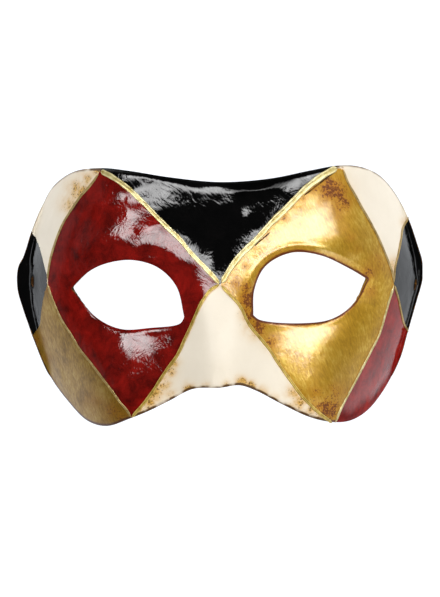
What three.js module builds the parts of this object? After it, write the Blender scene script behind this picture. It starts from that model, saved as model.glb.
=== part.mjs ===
// A Venetian half mask of papier-mache, cut off above the nostrils, with two almond eye holes.
// It lies on its back, face up, on the rims of its two temples. Millimetres.
// +X runs to the right of someone who faces the mask, +Y to its forehead and +Z out of its face.
// The shape is drawn from the front as points in X and Y, and depthAt gives each of them its height.
import * as THREE from "three";

// Driving dimensions
const WALL = 2.2; // thickness of the papier-mache
const MESH_STEP = 3.8; // length of a facet's side
const EYE_STEP = 2.8; // the same along the eye holes
const RIBBON_SLOT_HALF = 2.2; // half the height of a slot for the ribbon, which is narrower across
const RIBBON_SLOT_SIDES = 10;

// The curve of the face from temple to temple
const DOME_RISE = 60;
const DOME_POWER = 2.97;
const DOME_ROOT = 0.8;
const DOME_CUT = 0.975; // how far out on its own curve the dome is cut off

// How the forehead and the cheeks fall away, as shares of the rise at this distance from the middle
const LEAN_MIDDLE = 1.2;
const LEAN_HEIGHT = 54;
const FOREHEAD_LEAN = { share: 0.156, power: 2.1 };
const CHEEK_LEAN = { share: 0.01, power: 3.9 };

// How far the dome reaches at each temple, before the rim turns outwards
const TEMPLES = {
  left: { reach: 81, y: 7, taper: 0.36, round: 16 },
  right: { reach: 82.9, y: 9, taper: 0.33, round: 10 },
};
const RIM_SLOPE = 0.9; // of the rim that turns outwards at the temples
const RIM_BLEND = 1.6;
const ROLLED_EDGE = { drop: 2.2, width: 1.5 };
const RELIEF_ROOM = 12; // the rolled edge and the features fade out where the dome is lower than this

// Features of the face, each a soft hill or hollow: where it is, how wide and tall, how high, its turn
const BROWS = { x: 26.8, y: 8.6, wide: 33.9, tall: 13.9, high: 8.6, turn: 18.3 };
const SOCKETS = { x: 36.6, y: 1.2, wide: 27.4, tall: 15.7, high: -11.2, turn: 0 };
const CHEEKS = { x: 43.1, y: -45.9, wide: 19.6, tall: 19, high: 8.2, turn: -34 };
const BRIDGE_HOLLOW = { x: 0, y: 0.6, wide: 6.2, tall: 12.9, high: -3.6, turn: 0 };
const NOSE = { rootY: 18.8, tipY: -38, rootWidth: 10, tipWidth: 16.9, high: 16.4 };

// Corners of the harlequin diamonds. The facets follow the painted lines between them.
const CORNERS = {
  foreheadLeft: [-49.3, 53.7],
  foreheadRight: [49.6, 54.8],
  bridge: [0, 5.7],
  templeLeft: [-72.4, 5.8],
  templeRight: [72.6, 6],
  sideTopLeft: [-79, 26.6],
  sideTopRight: [78.5, 33.2],
  sideLowLeft: [-78.5, -16.2],
  sideLowRight: [78.5, -14.8],
  cheekLeft: [-37, -50.7],
  cheekRight: [47.5, -52.4],
};
const C = CORNERS;

const PAINTED_LINES = [
  [C.foreheadLeft, [-37.4, 44.3], [-24.9, 32.4], [-12.5, 19.5], C.bridge],
  [C.bridge, [8.6, -3], [20.8, -22.9], [33.2, -38.6], C.cheekRight],
  [C.foreheadRight, [33.2, 41.4], [16.6, 26], C.bridge],
  [C.bridge, [-8.4, -3.4], [-17, -20.6], [-27, -37], C.cheekLeft],
  [C.foreheadLeft, [-58.2, 41.6], [-66.5, 26.6], C.templeLeft],
  [C.templeLeft, [-75.2, -7.5], C.sideLowLeft],
  [C.cheekLeft, [-54, -26.6], [-65.7, -8.7], C.templeLeft],
  [C.templeLeft, [-75.5, 18], C.sideTopLeft],
  [C.foreheadRight, [58.2, 39.5], [66.5, 22.4], C.templeRight],
  [C.templeRight, [76.3, -7.2], C.sideLowRight],
  [C.cheekRight, [58.2, -33.7], [67.3, -13.7], C.templeRight],
  [C.templeRight, [74.8, 21.6], C.sideTopRight],
];

// The rim, clockwise from the forehead's left corner
const RIM = [
  C.foreheadLeft, [-37.4, 52.4], [-20.8, 49.7], [0, 47.7], [20.8, 49.2], [37.4, 52.6],
  C.foreheadRight, [58.5, 54.3], [66.4, 51], [73.4, 43.3],
  C.sideTopRight, [82.3, 22.4], [84.7, 13.6], [84.6, 7], [82, -2.6],
  C.sideLowRight, [75.4, -25.5], [69.3, -38], [61.6, -47.6], [54.5, -51.7],
  C.cheekRight, [37.4, -50.3], [25, -44.5], [14.5, -39], [8, -36.9], [0, -37.9], [-11, -38.4],
  [-20.8, -43.3], [-29, -47.4],
  C.cheekLeft, [-47, -54], [-55, -52], [-63.5, -43.8], [-71.4, -33],
  C.sideLowLeft, [-82.6, -5], [-84.9, 3.6], [-84.6, 12.2], [-81.9, 17.6],
  C.sideTopLeft, [-75.2, 36.2], [-70, 46], [-61, 52.3],
];

// Each eye hole is an upper and a lower edge that meet at the two corners of the eye
const EYES = [
  [
    [[-61.7, 3.3], [-54, 10.4], [-45.7, 13.8], [-35.5, 14.7], [-25.5, 11.5], [-18.2, 3.9], [-15, -8.6]],
    [[-15, -8.6], [-16.8, -11], [-29, -12.7], [-41, -13.2], [-51.5, -8.4], [-61.7, 3.3]],
  ],
  [
    [[14, -7.6], [14.4, 2.6], [19, 12.4], [29.6, 17.9], [41.6, 16.8], [54, 11.2], [61.1, 7.1]],
    [[61.1, 7.1], [55.5, -2.8], [46.5, -9], [33, -10.8], [16.6, -9.4], [14, -7.6]],
  ],
];

const RIBBON_SLOTS = [
  [-78.4, 6.2],
  [81.8, 5],
];

// Curves

const spline = (points, closed = false) =>
  new THREE.CatmullRomCurve3(
    points.map(([x, y]) => new THREE.Vector3(x, y, 0)),
    closed,
    "centripetal",
  );

/** Points along a spline, equal steps of about `step` from each of its control points to the next. */
function walk(points, step, closed = false) {
  const curve = spline(points, closed);
  const spans = closed ? points.length : points.length - 1;
  const found = [];
  for (let i = 0; i < spans; i++) {
    const pieces = 8;
    const at = (j) => curve.getPoint((i + j / pieces) / spans);
    let length = 0;
    for (let j = 0; j < pieces; j++) length += flat(at(j)).distanceTo(flat(at(j + 1)));
    const steps = Math.max(1, Math.round(length / step));
    for (let j = 0; j < steps; j++) found.push(at((j * pieces) / steps));
  }
  if (!closed) found.push(curve.getPoint(1));
  return found.map((p) => new THREE.Vector2(p.x, p.y));
}

/** Distance in X and Y from a point to a closed run of points, negative outside it. */
function distanceInto(loop, x, y) {
  let least = Infinity;
  loop.forEach((a, i) => {
    const b = loop[(i + 1) % loop.length];
    const dx = b.x - a.x;
    const dy = b.y - a.y;
    const t = THREE.MathUtils.clamp(((x - a.x) * dx + (y - a.y) * dy) / (dx * dx + dy * dy), 0, 1);
    least = Math.min(least, Math.hypot(x - a.x - t * dx, y - a.y - t * dy));
  });
  return isInside(loop, x, y) ? least : -least;
}

function isInside(loop, x, y) {
  let inside = false;
  loop.forEach((a, i) => {
    const b = loop[(i + 1) % loop.length];
    if (a.y > y !== b.y > y && x < a.x + ((y - a.y) / (b.y - a.y)) * (b.x - a.x)) inside = !inside;
  });
  return inside;
}

// The form

/** Height of a soft hill at a point. Its turn, in degrees, raises its far end from the face's middle. */
function hill(f, x, y) {
  const turn = THREE.MathUtils.degToRad(f.turn);
  const along = (x - f.x) * Math.cos(turn) + (y - f.y) * Math.sin(turn);
  const across = (y - f.y) * Math.cos(turn) - (x - f.x) * Math.sin(turn);
  return f.high * Math.exp(-((along / f.wide) ** 2) - (across / f.tall) ** 2);
}

const pair = (f, x, y) => hill(f, x, y) + hill(f, -x, y);

function nose(x, y) {
  const down = THREE.MathUtils.smootherstep(NOSE.rootY - y, 0, NOSE.rootY - NOSE.tipY);
  const width = THREE.MathUtils.lerp(NOSE.rootWidth, NOSE.tipWidth, down);
  return NOSE.high * down * Math.exp(-((x / width) ** 2));
}

/** Half the width of the dome at height y, on the side that x is on. */
function reachAt(x, y) {
  const t = x < 0 ? TEMPLES.left : TEMPLES.right;
  return t.reach - t.taper * (Math.hypot(y - t.y, t.round) - t.round);
}

/** Height of the dome over its cut at a share of its reach, as a share of the whole dome. */
const domeShare = (share) =>
  (1 - Math.min(1, DOME_CUT * share) ** DOME_POWER) ** DOME_ROOT - (1 - DOME_CUT ** DOME_POWER) ** DOME_ROOT;

function domeAt(x, y) {
  const lean = y > LEAN_MIDDLE ? FOREHEAD_LEAN : CHEEK_LEAN;
  const lost = lean.share * (Math.abs(y - LEAN_MIDDLE) / LEAN_HEIGHT) ** lean.power;
  return DOME_RISE * (1 - lost) * domeShare(Math.abs(x) / reachAt(x, y));
}

let rim = []; // the rim's points, once it has been walked

/** Height of the mask's face over the table at a point seen from the front. */
function depthAt(x, y) {
  const dome = domeAt(x, y);
  const inwards = distanceInto(rim, x, y);
  const ramp = RIM_SLOPE * inwards;
  const body = (dome + ramp + Math.hypot(dome - ramp, RIM_BLEND) - RIM_BLEND) / 2;
  const relief =
    pair(BROWS, x, y) +
    pair(SOCKETS, x, y) +
    pair(CHEEKS, x, y) +
    hill(BRIDGE_HOLLOW, x, y) +
    nose(x, y) -
    ROLLED_EDGE.drop * Math.exp(-Math.max(0, inwards) / ROLLED_EDGE.width);
  return body + relief * THREE.MathUtils.smoothstep(dome, 0, RELIEF_ROOM);
}

// The facets are laid out on the mask's skin, unrolled: its width is measured along the dome's curve

const UNROLL_STEPS = 440;
const UNROLL_TO = 1.1; // of the dome's reach, so as to take in the rim that turns outwards
const unrolled = [0];
for (let i = 1; i <= UNROLL_STEPS; i++) {
  const from = (UNROLL_TO * (i - 1)) / UNROLL_STEPS;
  const to = (UNROLL_TO * i) / UNROLL_STEPS;
  const across = TEMPLES.right.reach * (to - from);
  const down = Math.max(RIM_SLOPE * across, DOME_RISE * (domeShare(from) - domeShare(to)));
  unrolled.push(unrolled[i - 1] + Math.hypot(across, down));
}
const HALF_UNROLLED = unrolled[UNROLL_STEPS];

function flat(p) {
  const place = (Math.abs(p.x) / reachAt(p.x, p.y) / UNROLL_TO) * UNROLL_STEPS;
  const i = Math.min(UNROLL_STEPS - 1, Math.floor(place));
  const along = THREE.MathUtils.lerp(unrolled[i], unrolled[i + 1], place - i);
  return new THREE.Vector2(Math.sign(p.x) * along, p.y);
}

function unflat(q) {
  const along = Math.abs(q.x);
  const i = Math.max(0, unrolled.findLastIndex((length) => length <= along && length < HALF_UNROLLED));
  const place = i + (along - unrolled[i]) / (unrolled[i + 1] - unrolled[i]);
  const x = (Math.sign(q.x) * place * UNROLL_TO * reachAt(q.x, q.y)) / UNROLL_STEPS;
  return new THREE.Vector2(x, q.y);
}

/** Delaunay triangles of a set of points, as triples of their indices, all turning the same way. */
function delaunay(points) {
  const far = 1e4;
  const all = [...points, { x: -far, y: -far }, { x: far, y: -far }, { x: 0, y: far }];
  const circled = (a, b, c) => {
    const [p, q, r] = [all[a], all[b], all[c]];
    const d = 2 * (p.x * (q.y - r.y) + q.x * (r.y - p.y) + r.x * (p.y - q.y));
    const [pp, qq, rr] = [p, q, r].map((v) => v.x * v.x + v.y * v.y);
    const x = (pp * (q.y - r.y) + qq * (r.y - p.y) + rr * (p.y - q.y)) / d;
    const y = (pp * (r.x - q.x) + qq * (p.x - r.x) + rr * (q.x - p.x)) / d;
    return { corners: [a, b, c], x, y, rr: (p.x - x) ** 2 + (p.y - y) ** 2 };
  };
  const n = points.length;
  let triangles = [circled(n, n + 1, n + 2)];
  points.forEach((p, k) => {
    const open = new Map();
    triangles = triangles.filter((t) => {
      if ((p.x - t.x) ** 2 + (p.y - t.y) ** 2 >= t.rr) return true;
      t.corners.forEach((a, i) => {
        const b = t.corners[(i + 1) % 3];
        if (!open.delete(b + " " + a)) open.set(a + " " + b, [a, b]);
      });
      return false;
    });
    for (const [a, b] of open.values()) triangles.push(circled(a, b, k));
  });
  return triangles.map((t) => t.corners).filter((corners) => corners.every((i) => i < n));
}

// The mask

/** The front points of all the facets' corners, and the loops that bound them. */
function layOut() {
  rim = walk(RIM, MESH_STEP, true);
  const eyes = EYES.map(([upper, lower]) => [
    ...walk(upper, EYE_STEP).slice(0, -1),
    ...walk(lower, EYE_STEP).slice(0, -1),
  ]);
  const slots = RIBBON_SLOTS.map(([x, y]) => {
    const middle = flat({ x, y });
    return Array.from({ length: RIBBON_SLOT_SIDES }, (_, i) => {
      const turn = (2 * Math.PI * i) / RIBBON_SLOT_SIDES;
      const spoke = new THREE.Vector2(Math.cos(turn), Math.sin(turn)).multiplyScalar(RIBBON_SLOT_HALF);
      return unflat(spoke.add(middle));
    });
  });
  const loops = [rim, ...eyes, ...slots];
  const points = loops.flat();
  const spread = points.map(flat);
  const spreadLoops = loops.map((loop) => loop.map(flat));
  const isOnMask = (q) => spreadLoops.every((loop, i) => isInside(loop, q.x, q.y) === (i === 0));
  const place = (q, room) => {
    if (!isOnMask(q) || spread.some((other) => other.distanceTo(q) < room)) return;
    points.push(unflat(q));
    spread.push(q);
  };
  for (const line of PAINTED_LINES)
    for (const p of walk(line, MESH_STEP)) place(flat(p), 0.55 * MESH_STEP);
  const rowHeight = MESH_STEP * Math.sqrt(0.75);
  for (let row = 0, y = -LEAN_HEIGHT; y < 1.1 * LEAN_HEIGHT; row++, y += rowHeight)
    for (let x = -HALF_UNROLLED + (row % 2) * MESH_STEP * 0.5; x < HALF_UNROLLED; x += MESH_STEP)
      place(new THREE.Vector2(x, y), 0.72 * MESH_STEP);
  return { points, spread, isOnMask };
}

/** The face's point and outward normal over a point seen from the front. */
function skinAt({ x, y }) {
  const step = 0.2;
  const slopeX = (depthAt(x + step, y) - depthAt(x - step, y)) / (2 * step);
  const slopeY = (depthAt(x, y + step) - depthAt(x, y - step)) / (2 * step);
  return {
    point: new THREE.Vector3(x, y, Math.max(0, depthAt(x, y))),
    normal: new THREE.Vector3(-slopeX, -slopeY, 1).normalize(),
  };
}

function maskGeometry() {
  const { points, spread, isOnMask } = layOut();
  const outer = [];
  const inner = [];
  for (const p of points) {
    const { point, normal } = skinAt(p);
    const back = point.clone().addScaledVector(normal, -WALL);
    if (back.z < 0) {
      // The rim that rests is cut level with the table, so the inside slides up its own slope to it
      const level = Math.hypot(normal.x, normal.y);
      const slide = -back.z / level ** 2;
      back.x -= normal.x * normal.z * slide;
      back.y -= normal.y * normal.z * slide;
      back.z = 0;
    }
    outer.push(point);
    inner.push(back);
  }

  const count = points.length;
  const faces = [];
  const edges = new Map();
  for (const corners of delaunay(spread)) {
    const [a, b, c] = corners.map((i) => spread[i]);
    if (!isOnMask({ x: (a.x + b.x + c.x) / 3, y: (a.y + b.y + c.y) / 3 })) continue;
    faces.push(...corners, ...corners.map((i) => i + count).reverse());
    corners.forEach((from, i) => {
      const to = corners[(i + 1) % 3];
      if (!edges.delete(to + " " + from)) edges.set(from + " " + to, [from, to]);
    });
  }
  // An edge that only one facet uses is on the rim or a hole, and gets the wall's cut face
  for (const [from, to] of edges.values())
    faces.push(from, from + count, to, to, from + count, to + count);

  const geometry = new THREE.BufferGeometry();
  geometry.setFromPoints([...outer, ...inner]);
  geometry.setIndex(faces);
  return geometry;
}

const geometry = maskGeometry();

// The frame's origin is on the table, under the middle of the mask
geometry.computeBoundingBox();
const box = geometry.boundingBox;
geometry.translate(-(box.min.x + box.max.x) / 2, -(box.min.y + box.max.y) / 2, -box.min.z);
geometry.computeVertexNormals();

const painted = new THREE.MeshStandardMaterial({ color: "#e9ddc6", roughness: 0.4, metalness: 0 });
const mask = new THREE.Mesh(geometry, painted);
mask.name = "mask";

const group = new THREE.Group();
group.add(mask);
export default group;
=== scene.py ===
"""A Venetian half mask of painted papier-mache, lying face up on the rims of its temples.

The shell, the gilt bands that frame its diamonds, and the studio around them. Shapes are drawn in
millimetres, as the part is: X to the right of someone who faces the mask, Y to its forehead and Z
out of its face. They become metres when a mesh gets its last places.
"""
import logging
import math
from dataclasses import dataclass, field
from enum import Enum
from typing import Any

import bpy
import numpy as np
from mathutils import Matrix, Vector


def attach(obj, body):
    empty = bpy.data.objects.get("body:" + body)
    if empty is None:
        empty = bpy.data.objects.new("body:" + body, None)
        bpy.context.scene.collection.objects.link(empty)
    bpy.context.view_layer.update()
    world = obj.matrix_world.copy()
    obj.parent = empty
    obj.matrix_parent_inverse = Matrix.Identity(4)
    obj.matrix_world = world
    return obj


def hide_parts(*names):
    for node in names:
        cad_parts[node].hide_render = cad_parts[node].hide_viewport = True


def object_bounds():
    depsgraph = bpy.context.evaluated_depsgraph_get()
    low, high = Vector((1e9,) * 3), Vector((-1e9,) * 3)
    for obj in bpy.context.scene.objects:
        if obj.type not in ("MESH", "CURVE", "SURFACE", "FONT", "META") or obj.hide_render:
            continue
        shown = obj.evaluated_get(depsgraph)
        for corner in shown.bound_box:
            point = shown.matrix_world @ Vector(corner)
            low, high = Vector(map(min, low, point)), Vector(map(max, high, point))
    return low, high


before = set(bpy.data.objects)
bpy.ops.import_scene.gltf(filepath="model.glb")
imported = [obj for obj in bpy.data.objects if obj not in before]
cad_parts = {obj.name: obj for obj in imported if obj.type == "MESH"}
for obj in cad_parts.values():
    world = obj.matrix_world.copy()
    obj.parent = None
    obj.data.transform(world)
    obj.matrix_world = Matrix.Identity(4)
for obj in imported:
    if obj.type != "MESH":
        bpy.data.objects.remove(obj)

CAD_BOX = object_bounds()
LOG = logging.getLogger("harlequin_mask")
MM = 0.001
ORIGIN = np.array([0.1106, -0.4478, 0.0])  # from the drawing's origin to the part's, mm

Points = np.ndarray  # one row for each point
Spot = tuple[float, float]
Socket = bpy.types.NodeSocket


# Curves and distances


def smoothstep(x: Points, low: float, high: float) -> Points:
    """Rises softly from 0 at low to 1 at high."""
    t = np.clip((x - low) / (high - low), 0, 1)
    return t * t * (3 - 2 * t)


def smootherstep(x: Points, low: float, high: float) -> Points:
    """Rises from 0 at low to 1 at high, with softer ends than smoothstep."""
    t = np.clip((x - low) / (high - low), 0, 1)
    return t**3 * (t * (6 * t - 15) + 10)


def spline(points: Points | tuple[Spot, ...], closed: bool = False, steps: int = 12) -> Points:
    """A smooth curve through points, paced by the root of their spacing so that it never loops.

    Args:
        points: What it passes through, in order.
        closed: Whether it runs on from the last point to the first.
        steps: How many short pieces there are from one point to the next.

    Returns:
        Points along the curve. A closed one doesn't repeat its first.
    """
    p = np.array(points, float)
    ends = (p[-1:], p[:2]) if closed else (2 * p[:1] - p[1:2], 2 * p[-1:] - p[-2:-1])
    p = np.vstack([ends[0], p, ends[1]])
    found = []
    for a, b, c, d in zip(p, p[1:], p[2:], p[3:]):
        ta = 0.0
        tb = ta + np.linalg.norm(b - a) ** 0.5
        tc = tb + np.linalg.norm(c - b) ** 0.5
        td = tc + np.linalg.norm(d - c) ** 0.5
        t = np.linspace(tb, tc, steps, endpoint=False)[:, None]
        ab = (tb - t) / (tb - ta) * a + (t - ta) / (tb - ta) * b
        bc = (tc - t) / (tc - tb) * b + (t - tb) / (tc - tb) * c
        cd = (td - t) / (td - tc) * c + (t - tc) / (td - tc) * d
        abc = (tc - t) / (tc - ta) * ab + (t - ta) / (tc - ta) * bc
        bcd = (td - t) / (td - tb) * bc + (t - tb) / (td - tb) * cd
        found.append((tc - t) / (tc - tb) * abc + (t - tb) / (tc - tb) * bcd)
    if not closed:
        found.append(p[-2:-1])
    return np.vstack(found)


def nearest_on(run: Points, places: Points, closed: bool, batch: int = 8000) -> tuple[Points, Points]:
    """Finds the nearest point of a run of short straight pieces, at its nearest corner.

    Args:
        run: The run's corners.
        places: Where to look from.
        closed: Whether the last corner joins the first.
        batch: How many places at most are looked from at once, to spare memory.

    Returns:
        The distance and the nearest point, for each place.
    """
    size = (run**2).sum(axis=1)
    batches = np.array_split(places, len(places) // batch + 1)
    corner = np.concatenate([(size - 2 * some @ run.T).argmin(axis=1) for some in batches])
    least = np.full(len(places), np.inf)
    found = np.zeros_like(places)
    for step in (-1, 1):
        other = (corner + step) % len(run) if closed else np.clip(corner + step, 0, len(run) - 1)
        start, along = run[corner], run[other] - run[corner]
        t = ((places - start) * along).sum(axis=1) / np.maximum(1e-12, (along**2).sum(axis=1))
        near = start + np.clip(t, 0, 1)[:, None] * along
        apart = np.hypot(*(places - near).T)
        better = apart < least
        least[better] = apart[better]
        found[better] = near[better]
    return least, found


def is_inside(loop: Points, places: Points) -> np.ndarray:
    """Tells which places a closed run of points encloses.

    Args:
        loop: The run. Its last point joins its first.
        places: Where to look.

    Returns:
        True for each place inside.
    """
    inside = np.zeros(len(places), bool)
    x, y = places.T
    for a, b in zip(loop, np.roll(loop, -1, axis=0)):
        if a[1] != b[1]:
            passed = np.flatnonzero((a[1] > y) != (b[1] > y))
            inside[passed] ^= x[passed] < a[0] + (y[passed] - a[1]) / (b[1] - a[1]) * (b[0] - a[0])
    return inside


# Meshes


def read(elements: Any, name: str, width: int = 1, kind: type = float) -> np.ndarray:
    """Reads one property of all vertices, edges, corners or faces of a mesh.

    Args:
        elements: The mesh's collection of them.
        name: The property.
        width: How many numbers it has for each.
        kind: Their type.

    Returns:
        The numbers, in a row for each element where it has more than one.
    """
    values = np.empty(width * len(elements), kind)
    elements.foreach_get(name, values)
    return values.reshape(-1, width) if width > 1 else values


def vertex_places(mesh: bpy.types.Mesh) -> Points:
    """The places of a mesh's vertices."""
    return read(mesh.vertices, "co", 3)


def vertex_normals(mesh: bpy.types.Mesh) -> Points:
    """The normals of a mesh's vertices."""
    return read(mesh.vertex_normals, "vector", 3, np.float32).astype(float)


def move_vertices(mesh: bpy.types.Mesh, places: Points) -> None:
    """Puts a mesh's vertices at new places."""
    mesh.vertices.foreach_set("co", places.ravel())
    mesh.update()


def keep_in_box(places: Points) -> Points:
    """Brings places back into the part's box, which they leave by a tenth of a millimetre at most."""
    return np.clip(places, CAD_BOX[0], CAD_BOX[1])


def note(mesh: bpy.types.Mesh, name: str, values: np.ndarray) -> None:
    """Notes a number or a vector on each vertex, for a material or a later step to read."""
    kind, part = ("FLOAT_VECTOR", "vector") if values.ndim > 1 else ("FLOAT", "value")
    mesh.attributes.new(name, kind, "POINT").data.foreach_set(part, values.astype(np.float32).ravel())


def take_note(mesh: bpy.types.Mesh, name: str, kind: type = np.float32) -> np.ndarray:
    """Reads what is noted under a name, and takes it off the mesh.

    Args:
        mesh: The mesh.
        name: The note's name.
        kind: The type of its numbers.

    Returns:
        The noted numbers or vectors.
    """
    noted = mesh.attributes[name]
    part, width = ("vector", 3) if noted.data_type == "FLOAT_VECTOR" else ("value", 1)
    values = read(noted.data, part, width, kind)
    mesh.attributes.remove(noted)
    return values


def select_in_mesh(obj: bpy.types.Object, part: str, chosen: np.ndarray) -> None:
    """Selects only some vertices, edges or faces of a mesh, and goes into edit mode.

    Args:
        obj: The mesh's object, in object mode.
        part: VERT, EDGE or FACE.
        chosen: True for each one to select.
    """
    mesh = obj.data
    bpy.context.tool_settings.mesh_select_mode = (part == "VERT", part == "EDGE", part == "FACE")
    for name, elements in (("VERT", mesh.vertices), ("EDGE", mesh.edges), ("FACE", mesh.polygons)):
        wanted = chosen if name == part else np.zeros(len(elements), bool)
        elements.foreach_set("select", wanted)
    bpy.ops.object.mode_set(mode="EDIT")


def select_all_faces(obj: bpy.types.Object) -> None:
    """Selects every face of a mesh, and goes into edit mode."""
    select_in_mesh(obj, "FACE", np.ones(len(obj.data.polygons), bool))


def add_grid(name: str, columns: int, rows: int) -> tuple[bpy.types.Object, np.ndarray, np.ndarray]:
    """Adds a flat grid.

    Args:
        name: The new object's name.
        columns: How many faces it is wide.
        rows: How many faces it is tall.

    Returns:
        The object, and the column and the row that each of its vertices is in.
    """
    bpy.ops.object.select_all(action="DESELECT")
    bpy.ops.mesh.primitive_grid_add(x_subdivisions=columns, y_subdivisions=rows, size=1)
    obj = bpy.context.active_object
    obj.name = obj.data.name = name
    x, y, _ = vertex_places(obj.data).T
    return obj, np.rint((x + 0.5) * columns).astype(int), np.rint((y + 0.5) * rows).astype(int)


# Mixing materials


# Settings that many nodes share
SOFTLY = {"interpolation_type": "SMOOTHSTEP"}
CLAMPED_PRODUCT = {"operation": "MULTIPLY", "use_clamp": True}
OF_COLOURS = {"data_type": "RGBA"}
OF_NUMBERS = {"data_type": "FLOAT"}


def linear(colour: str) -> tuple[float, float, float, float]:
    """Turns an sRGB hex colour into the linear one that shaders use.

    Args:
        colour: Six hex digits after a hash sign.

    Returns:
        Red, green, blue and a full alpha.
    """
    parts = [int(colour[i : i + 2], 16) / 255 for i in (1, 3, 5)]
    red, green, blue = (p / 12.92 if p <= 0.04045 else ((p + 0.055) / 1.055) ** 2.4 for p in parts)
    return red, green, blue, 1.0


def fill_inputs(node: bpy.types.Node, **inputs: Any) -> None:
    """Sets or links a node's inputs.

    Args:
        node: The node.
        **inputs: A value or an output socket for each input, by its name with _ for a space, or by
            its number after "i" where names repeat.
    """
    for name, value in inputs.items():
        socket = node.inputs[int(name[1:])] if name[1:].isdigit() else node.inputs[name.replace("_", " ")]
        if isinstance(value, Socket):
            node.id_data.links.new(value, socket)
        else:
            socket.default_value = value


def add_node(
    tree: bpy.types.NodeTree, kind: str, settings: dict[str, Any] | None = None, **inputs: Any
) -> bpy.types.Node:
    """Adds one node with its settings and links.

    Args:
        tree: The node tree that gets it.
        kind: The node's type, without "ShaderNode".
        settings: The node's own properties.
        **inputs: What fill_inputs takes.

    Returns:
        The new node.
    """
    node = tree.nodes.new("ShaderNode" + kind)
    for name, value in (settings or {}).items():
        setattr(node, name, value)
    fill_inputs(node, **inputs)
    return node


def start_material(name: str) -> tuple[bpy.types.Material, bpy.types.NodeTree, bpy.types.Node, Socket]:
    """Starts a material.

    Args:
        name: The material's name.

    Returns:
        The material, its node tree, its shader and the object's own coordinates.
    """
    made = bpy.data.materials.new(name)
    made.use_nodes = True
    tree = made.node_tree
    return made, tree, tree.nodes["Principled BSDF"], add_node(tree, "TexCoord").outputs["Object"]


def blend_of_three(ramp: bpy.types.Node, deep: str, colour: str, bright: str) -> Socket:
    """Spreads three sRGB hex colours over the middle of a colour ramp.

    Args:
        ramp: The ramp's node.
        deep: The colour at its low end.
        colour: The colour in its middle.
        bright: The colour at its high end.

    Returns:
        The blend.
    """
    low, high = ramp.color_ramp.elements
    low.position, low.color = 0.30, linear(deep)
    high.position, high.color = 0.72, linear(bright)
    ramp.color_ramp.elements.new(0.5).color = linear(colour)
    return ramp.outputs["Color"]


def varnish_share(tree: bpy.types.NodeTree, ragged: Socket, bare_mm: float, within: str = "rim_mm") -> Socket:
    """How much varnish there is where it thins out towards an edge.

    Args:
        tree: The finish's node tree.
        ragged: What makes its own edge ragged.
        bare_mm: How far in the varnish is thin.
        within: The attribute that tells how far in a point lies.

    Returns:
        The share of varnish at each point.
    """
    depth = add_node(tree, "Attribute", {"attribute_name": within}).outputs["Fac"]
    depth = add_node(tree, "Math", {"operation": "MULTIPLY_ADD"}, i0=ragged, i1=bare_mm, i2=depth).outputs[0]
    return add_node(
        tree, "MapRange", SOFTLY, Value=depth, From_Min=0.7 * bare_mm, From_Max=1.6 * bare_mm, To_Min=0.16
    ).outputs["Result"]


# Finishes


@dataclass(frozen=True)
class Lacquer:
    """Acrylic colour under several coats of hard gloss varnish, both put on with a soft brush.

    It gives a deep, slightly cloudy colour below mirror-like highlights whose edges break up along
    the brush strokes.
    """

    name: str
    deep: str
    colour: str
    bright: str
    bare_mm: float  # how far in its varnish is thin
    bare_within: str = "rim_mm"
    ior: float = 1.5
    cloud_mm: float = 8.0
    fine_strokes: tuple[float, float, float] = (0.9, 5.0, 12.0)  # width in mm, length in widths, turn
    broad_strokes: tuple[float, float, float] = (3.2, 4.0, 52.0)
    broad_share: float = 0.9
    stroke_depth_mm: float = 0.12
    sway_mm: float = 14.0
    sway: float = 0.012  # how far the strokes sway, in m

    def material(self) -> bpy.types.Material:
        """Mixes the finish.

        Returns:
            The finish as a material.
        """
        made, tree, shader, place = start_material(self.name)
        clouds = add_node(
            tree, "TexNoise", Vector=place, Scale=1000 / self.cloud_mm, Detail=8.0, Roughness=0.72,
            Distortion=0.4,
        )
        colour = blend_of_three(
            add_node(tree, "ValToRGB", Fac=clouds.outputs["Fac"]), self.deep, self.colour, self.bright
        )
        drift = add_node(tree, "TexNoise", Vector=place, Scale=1000 / self.sway_mm, Detail=1.0).outputs
        swayed = add_node(
            tree, "VectorMath", {"operation": "MULTIPLY_ADD"}, i0=drift["Color"],
            i1=(self.sway, self.sway, self.sway), i2=place,
        ).outputs["Vector"]
        strokes = []
        for width, length, turn in (self.fine_strokes, self.broad_strokes):
            drawn_out = add_node(
                tree, "Mapping", {"vector_type": "TEXTURE"}, Vector=swayed, Scale=(1.0, length, 1.0),
                Rotation=(0, 0, math.radians(turn)),
            ).outputs["Vector"]
            noise = add_node(
                tree, "TexNoise", Vector=drawn_out, Scale=1000 / width, Detail=2.0, Roughness=0.6
            )
            strokes.append(noise.outputs["Fac"])
        fine, broad = strokes
        patches = add_node(
            tree, "MapRange", Value=drift["Fac"], From_Min=0.38, From_Max=0.62, To_Min=0.2
        ).outputs["Result"]
        ragged = add_node(tree, "Math", {"operation": "MULTIPLY"}, i0=fine, i1=patches).outputs[0]
        height = add_node(
            tree, "Math", {"operation": "MULTIPLY_ADD"}, i0=broad, i1=self.broad_share, i2=ragged
        ).outputs[0]
        relief = add_node(tree, "Bump", Distance=self.stroke_depth_mm * MM, Height=height).outputs["Normal"]
        varnish = varnish_share(tree, ragged, self.bare_mm, self.bare_within)
        fill_inputs(
            shader, Base_Color=colour, Roughness=0.6, Specular_IOR_Level=0.0, Normal=relief,
            Coat_Weight=varnish, Coat_Roughness=0.05, Coat_IOR=self.ior, Coat_Normal=relief,
        )
        return made


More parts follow.
